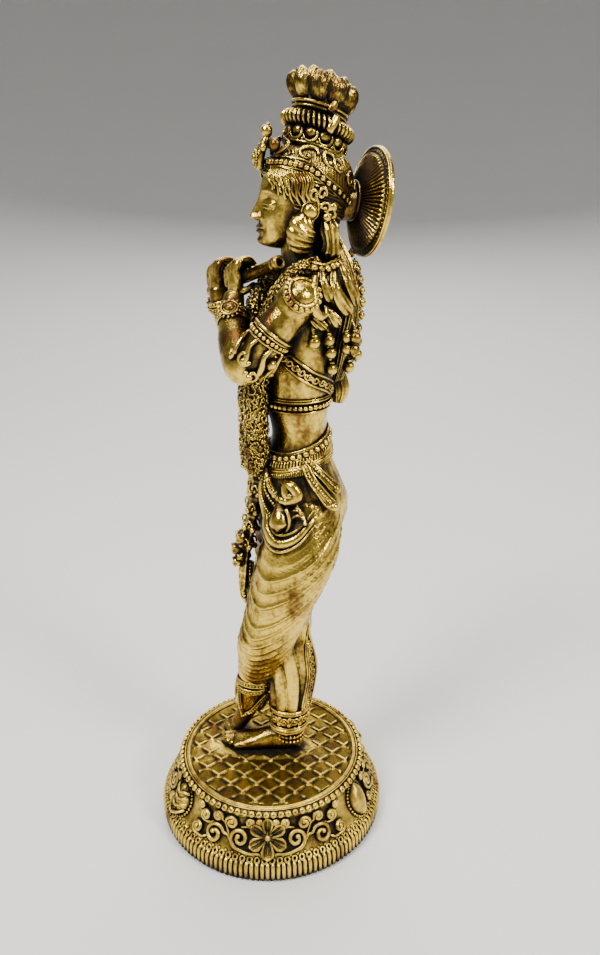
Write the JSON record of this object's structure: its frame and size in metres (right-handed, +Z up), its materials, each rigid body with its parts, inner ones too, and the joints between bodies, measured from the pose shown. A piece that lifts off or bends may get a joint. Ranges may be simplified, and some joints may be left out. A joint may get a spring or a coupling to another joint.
{
  "type": "krishna figure",
  "caption": "Standing flute player cast in antiqued brass, legs crossed, with a lotus topknot, a ribbed disc behind the head and a round frieze plinth.",
  "frame": {"origin": "centre of the plinth's underside, on the surface it stands on", "axes": "+Z up, the figure faces -Y, its own left is +X"},
  "size_m": [0.066, 0.066, 0.2003],
  "materials": {
    "figure_brass": "cast, polished on the high places, dark patina in the hollows",
    "plinth_brass": "cast, satin on the high places, dark patina in the hollows"
  },
  "bodies": {
    "root": {"figure": "figure_brass", "plinth": "plinth_brass"}
  },
  "joints": []
}
